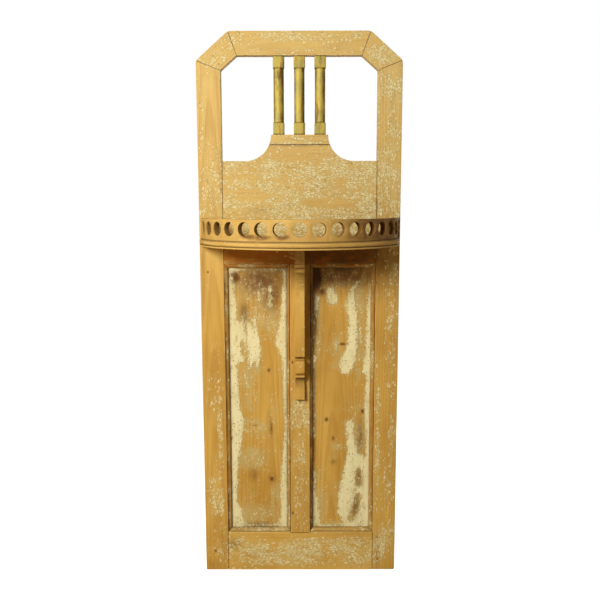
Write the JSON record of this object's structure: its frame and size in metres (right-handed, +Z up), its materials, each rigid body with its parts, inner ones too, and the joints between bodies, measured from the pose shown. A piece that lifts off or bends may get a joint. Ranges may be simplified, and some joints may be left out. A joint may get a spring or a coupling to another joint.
{
  "type": "wall-hung hall panel with shelf",
  "caption": "Tall wooden wall panel with cut corners, an open top with turned spindles, a half-round shelf with a pierced gallery on a console, and framed panels below.",
  "frame": {"origin": "middle of the bottom edge of the back face, in the wall plane", "axes": "+Z up along the stiles, +Y out of the back into the wall, so the front faces -Y, +X to the right seen from the front"},
  "size_m": [0.65, 0.32, 1.79],
  "materials": {
    "stripped_pine": "stripped old pine with crackled cream paint left in the grain",
    "brown_pine": "brown stained pine",
    "painted_pine": "pine with worn flaking cream paint",
    "gilt_paint": "worn gold paint on turned pine",
    "steel": "dull zinc plate",
    "beech": "plain beech"
  },
  "bodies": {
    "root": {"left_stile": "stripped_pine", "right_stile": "stripped_pine", "top_rail": "stripped_pine", "left_corner_rail": "stripped_pine", "right_corner_rail": "stripped_pine", "left_spindle": "gilt_paint", "centre_spindle": "gilt_paint", "right_spindle": "gilt_paint", "spindle_sill": "stripped_pine", "splat": "stripped_pine", "middle_rail": "stripped_pine", "muntin": "stripped_pine", "bottom_rail": "stripped_pine", "left_panel": "painted_pine", "right_panel": "painted_pine", "left_top_moulding": "brown_pine", "left_bottom_moulding": "brown_pine", "left_stile_moulding": "brown_pine", "left_muntin_moulding": "brown_pine", "right_top_moulding": "brown_pine", "right_bottom_moulding": "brown_pine", "right_stile_moulding": "brown_pine", "right_muntin_moulding": "brown_pine", "shelf_board": "stripped_pine", "gallery_left": "stripped_pine", "gallery_right": "brown_pine", "console": "stripped_pine", "left_hanger": "steel", "right_hanger": "steel", "hanger_screws": "steel", "shelf_screws": "steel", "console_back_screws": "steel", "console_top_screws": "steel", "gallery_screws": "steel", "moulding_pins": "steel", "corner_dowels": "beech", "sill_dowels": "beech", "gallery_dowel": "beech"}
  },
  "joints": []
}
